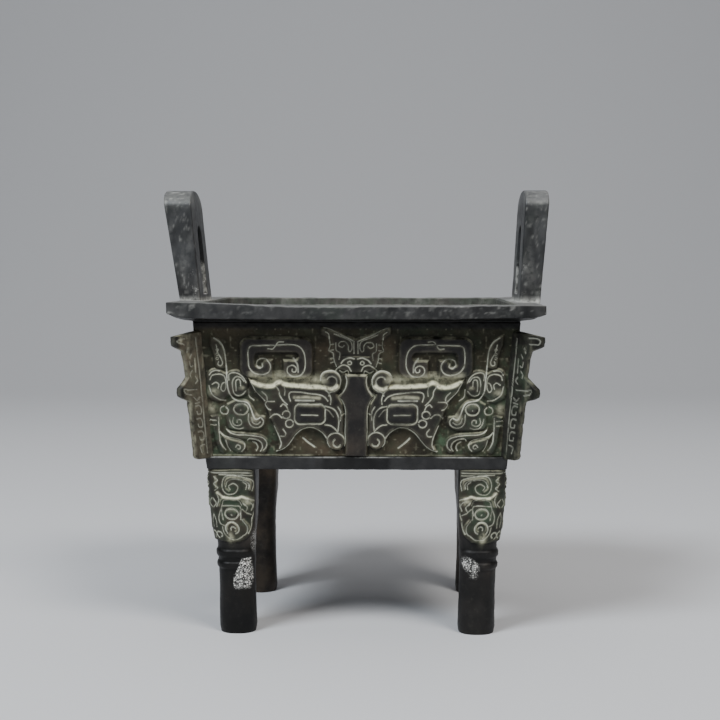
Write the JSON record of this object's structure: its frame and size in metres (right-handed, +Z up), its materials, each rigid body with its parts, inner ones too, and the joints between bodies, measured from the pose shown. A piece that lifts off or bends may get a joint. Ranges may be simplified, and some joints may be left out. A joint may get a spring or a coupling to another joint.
{
  "type": "square bronze ding",
  "caption": "Oblong bronze cauldron in the ancient style: hollow box body with animal-mask relief, flat rim, upright ears, hooked corner flanges and column legs.",
  "frame": {"origin": "centre of the bounding box, on the table under the feet", "axes": "+X along the long side towards the right ear, +Y away from the viewer of the front side, +Z up"},
  "size_m": [0.2002, 0.1416, 0.2246],
  "materials": {
    "dark_bronze": "dark patinated cast bronze, satin on the plain parts, with green and pale deposits in the relief"
  },
  "bodies": {
    "root": {"square_ding": "dark_bronze"}
  },
  "joints": []
}
